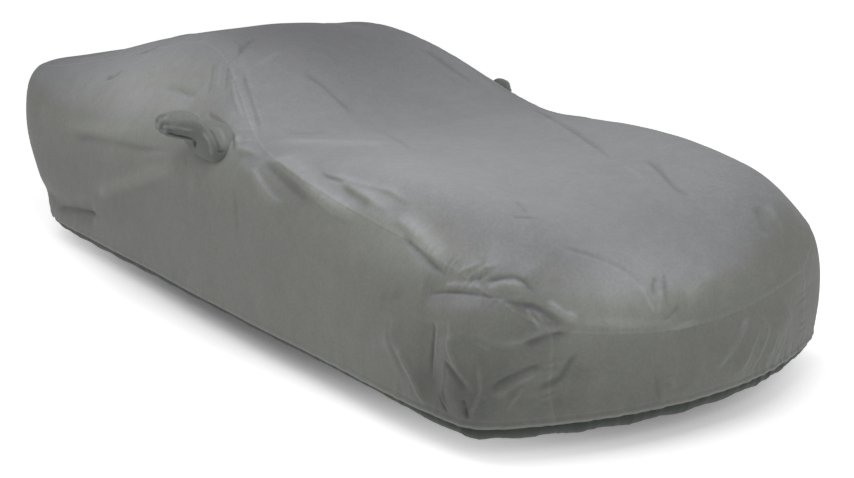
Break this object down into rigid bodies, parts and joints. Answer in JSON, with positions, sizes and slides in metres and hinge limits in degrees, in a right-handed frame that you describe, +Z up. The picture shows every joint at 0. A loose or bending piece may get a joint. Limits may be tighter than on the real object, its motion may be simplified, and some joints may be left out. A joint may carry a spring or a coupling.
{
  "type": "fitted car cover",
  "caption": "Fitted cloth cover in the draped shape of a low coupe, with sewn panels, mirror pockets and an elastic hem turned under, held up under its roof.",
  "frame": {"origin": "underside of the cloth at the top of the roof, where the cover is carried", "axes": "+Z up, +Y toward the tail, so the nose is toward -Y and the cover's right side is toward -X"},
  "size_m": [2.132, 4.6301, 1.1656],
  "materials": {
    "top_cloth": "matt woven cover cloth, pale bluish grey",
    "side_cloth": "matt woven cover cloth, mid grey with a slight green cast",
    "end_cloth": "matt woven cover cloth, mid grey with a slight green cast",
    "pocket_cloth": "matt woven cover cloth, mid grey"
  },
  "bodies": {
    "root": {"top_panel": "top_cloth", "side_panel_right": "side_cloth", "side_panel_left": "side_cloth", "front_panel": "end_cloth", "rear_panel": "end_cloth", "mirror_pocket_right": "pocket_cloth", "mirror_pocket_left": "pocket_cloth"}
  },
  "joints": []
}
